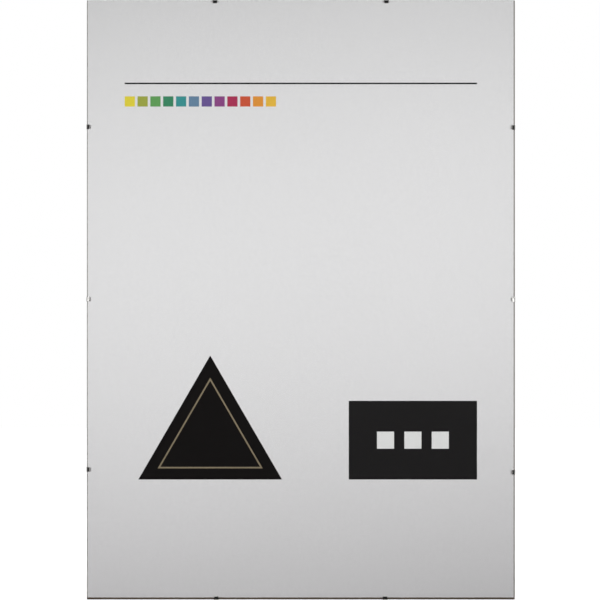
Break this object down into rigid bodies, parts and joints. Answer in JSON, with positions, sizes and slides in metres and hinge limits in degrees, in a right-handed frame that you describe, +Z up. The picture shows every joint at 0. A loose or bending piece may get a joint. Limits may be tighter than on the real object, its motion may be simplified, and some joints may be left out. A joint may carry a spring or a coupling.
{
  "type": "clip frame",
  "caption": "Frameless picture frame: a glass pane and a hardboard back with a print between them, held together by sprung metal clips and hung from a D-ring.",
  "frame": {"origin": "on the hardboard's back face, at the height where a nail bears in the upper ring, which is 32 mm under the pane's top edge", "axes": "+Z up, -Y towards the viewer, +Y towards the wall, +X to the viewer's right"},
  "size_m": [0.5012, 0.0097, 0.7013],
  "materials": {
    "glass": "clear float glass with ground edges",
    "insert_paper": "matt coated paper, light grey",
    "hardboard": "brown hardboard, smooth front, meshed back",
    "spring_steel": "bright nickel plate",
    "ring_steel": "nickel-plated wire",
    "strap_steel": "zinc-plated strip",
    "rivet_steel": "nickel-plated"
  },
  "bodies": {
    "sandwich": {"backing_board": "hardboard", "print_sheet": "insert_paper", "front_glass": "glass", "hanger_strap_portrait": "strap_steel", "hanger_rivet_portrait": "rivet_steel", "hanger_washer_portrait": "rivet_steel", "hanger_strap_landscape": "strap_steel", "hanger_rivet_landscape": "rivet_steel", "hanger_washer_landscape": "rivet_steel"},
    "clip_top_left": {"clip_top_left": "spring_steel"},
    "clip_top_right": {"clip_top_right": "spring_steel"},
    "clip_bottom_left": {"clip_bottom_left": "spring_steel"},
    "clip_bottom_right": {"clip_bottom_right": "spring_steel"},
    "clip_left_upper": {"clip_left_upper": "spring_steel"},
    "clip_left_middle": {"clip_left_middle": "spring_steel"},
    "clip_left_lower": {"clip_left_lower": "spring_steel"},
    "clip_right_upper": {"clip_right_upper": "spring_steel"},
    "clip_right_middle": {"clip_right_middle": "spring_steel"},
    "clip_right_lower": {"clip_right_lower": "spring_steel"},
    "hanger_ring_portrait": {"hanger_ring_portrait": "ring_steel"},
    "hanger_ring_landscape": {"hanger_ring_landscape": "ring_steel"}
  },
  "joints": [
    {"name": "clip_top_left_release", "type": "hinge", "parent": "sandwich", "child": "clip_top_left", "pos_m": [-0.1004, -0.00613, 0.02921], "axis": [1, 0, 0], "range_deg": [0, 100]},
    {"name": "clip_top_right_release", "type": "hinge", "parent": "sandwich", "child": "clip_top_right", "pos_m": [0.1, -0.00613, 0.02921], "axis": [1, 0, 0], "range_deg": [0, 100]},
    {"name": "clip_bottom_left_release", "type": "hinge", "parent": "sandwich", "child": "clip_bottom_left", "pos_m": [-0.0988, -0.00613, -0.66521], "axis": [-1, 0, 0], "range_deg": [0, 100]},
    {"name": "clip_bottom_right_release", "type": "hinge", "parent": "sandwich", "child": "clip_bottom_right", "pos_m": [0.0984, -0.00613, -0.66521], "axis": [-1, 0, 0], "range_deg": [0, 100]},
    {"name": "clip_left_upper_release", "type": "hinge", "parent": "sandwich", "child": "clip_left_upper", "pos_m": [-0.24721, -0.00613, -0.1158], "axis": [0, 0, 1], "range_deg": [0, 100]},
    {"name": "clip_left_middle_release", "type": "hinge", "parent": "sandwich", "child": "clip_left_middle", "pos_m": [-0.24721, -0.00613, -0.317], "axis": [0, 0, 1], "range_deg": [0, 100]},
    {"name": "clip_left_lower_release", "type": "hinge", "parent": "sandwich", "child": "clip_left_lower", "pos_m": [-0.24721, -0.00613, -0.516], "axis": [0, 0, 1], "range_deg": [0, 100]},
    {"name": "clip_right_upper_release", "type": "hinge", "parent": "sandwich", "child": "clip_right_upper", "pos_m": [0.24721, -0.00613, -0.1166], "axis": [0, 0, -1], "range_deg": [0, 100]},
    {"name": "clip_right_middle_release", "type": "hinge", "parent": "sandwich", "child": "clip_right_middle", "pos_m": [0.24721, -0.00613, -0.3176], "axis": [0, 0, -1], "range_deg": [0, 100]},
    {"name": "clip_right_lower_release", "type": "hinge", "parent": "sandwich", "child": "clip_right_lower", "pos_m": [0.24721, -0.00613, -0.5194], "axis": [0, 0, -1], "range_deg": [0, 100]},
    {"name": "hanger_ring_portrait_swing", "type": "hinge", "parent": "sandwich", "child": "hanger_ring_portrait", "pos_m": [0, 0.00186, -0.00997], "axis": [-1, 0, 0], "range_deg": [0, 176]},
    {"name": "hanger_ring_landscape_swing", "type": "hinge", "parent": "sandwich", "child": "hanger_ring_landscape", "pos_m": [0.20803, 0.00186, -0.318], "axis": [0, 0, 1], "range_deg": [0, 176]}
  ]
}
